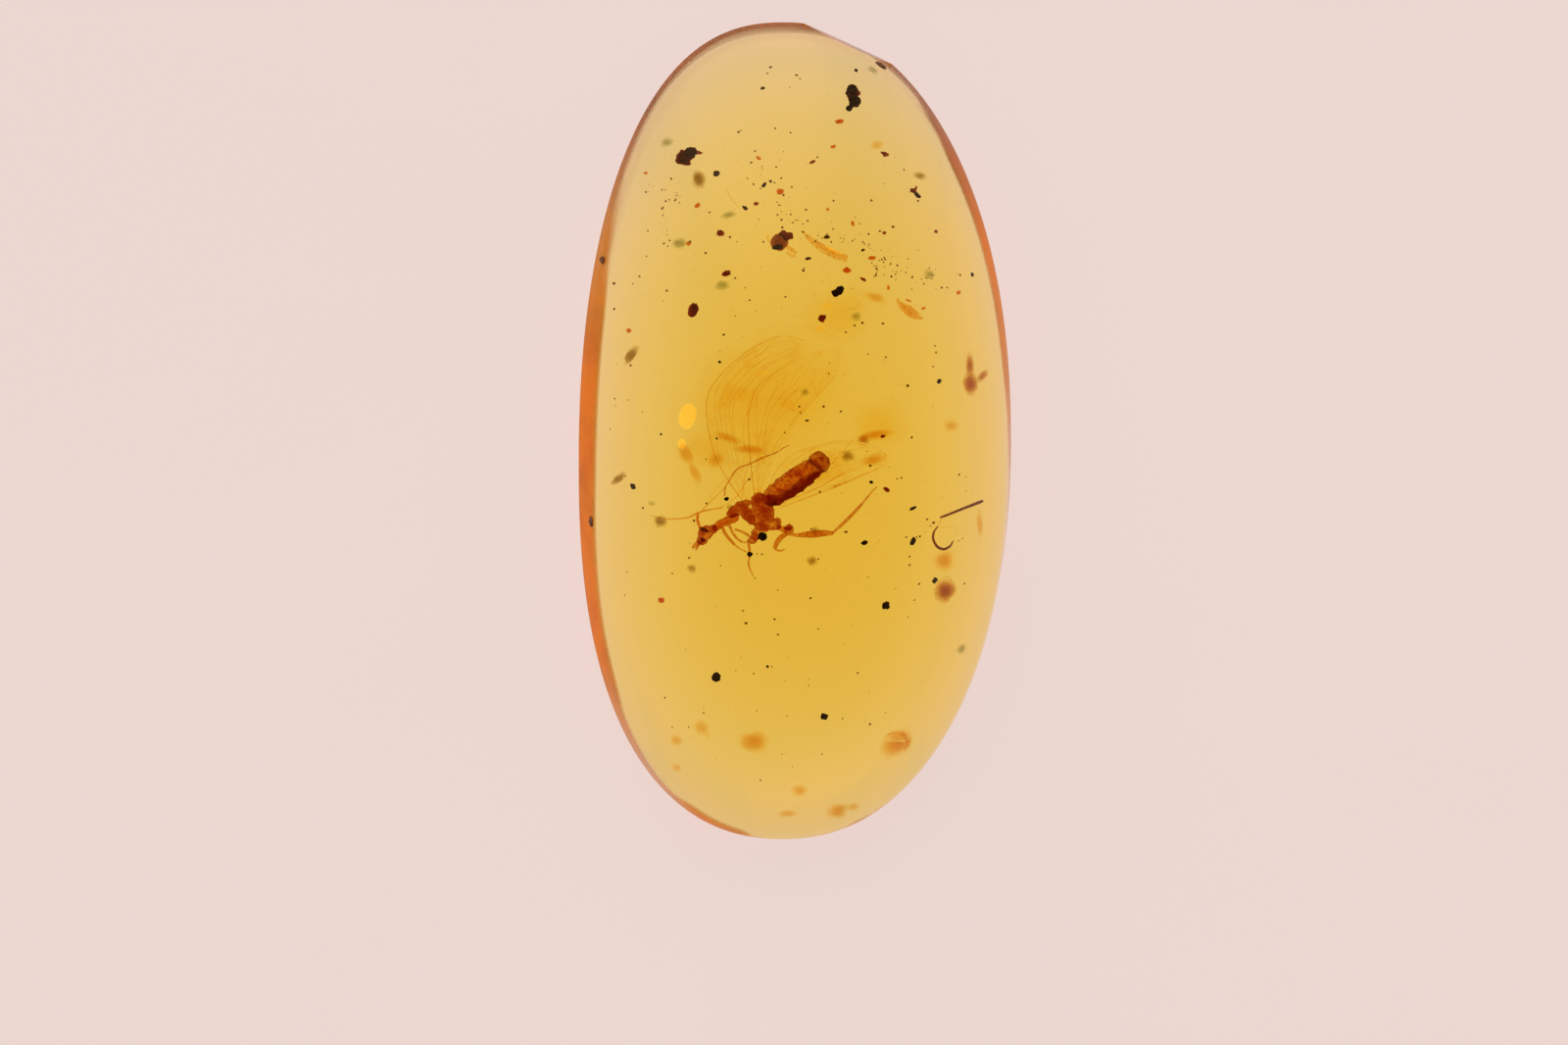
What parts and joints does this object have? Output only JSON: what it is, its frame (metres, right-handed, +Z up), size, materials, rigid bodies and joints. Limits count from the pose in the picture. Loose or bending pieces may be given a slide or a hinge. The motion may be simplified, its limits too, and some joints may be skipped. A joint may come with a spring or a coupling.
{
  "type": "insect in amber",
  "caption": "Polished oval of clear golden amber with a flat back, a low dome and ground flats at one end, and a small winged insect and plant debris sealed inside.",
  "frame": {"origin": "on the flat back, under the middle of the stone's outline", "axes": "+Z up from the flat back through the dome, +Y along the length towards the narrower end with the ground flats, +X to the right with the dome facing the viewer"},
  "size_m": [0.0138, 0.026, 0.0051],
  "materials": {
    "amber": "polished",
    "insect_cuticle": "satin",
    "wing_membrane": "satin",
    "wing_vein": "satin",
    "dark_debris": "matt",
    "plant_debris": "matt",
    "flow_haze": "cloudy",
    "gas_bubble": "clear"
  },
  "bodies": {
    "root": {"amber_stone": "amber"}
  },
  "joints": []
}
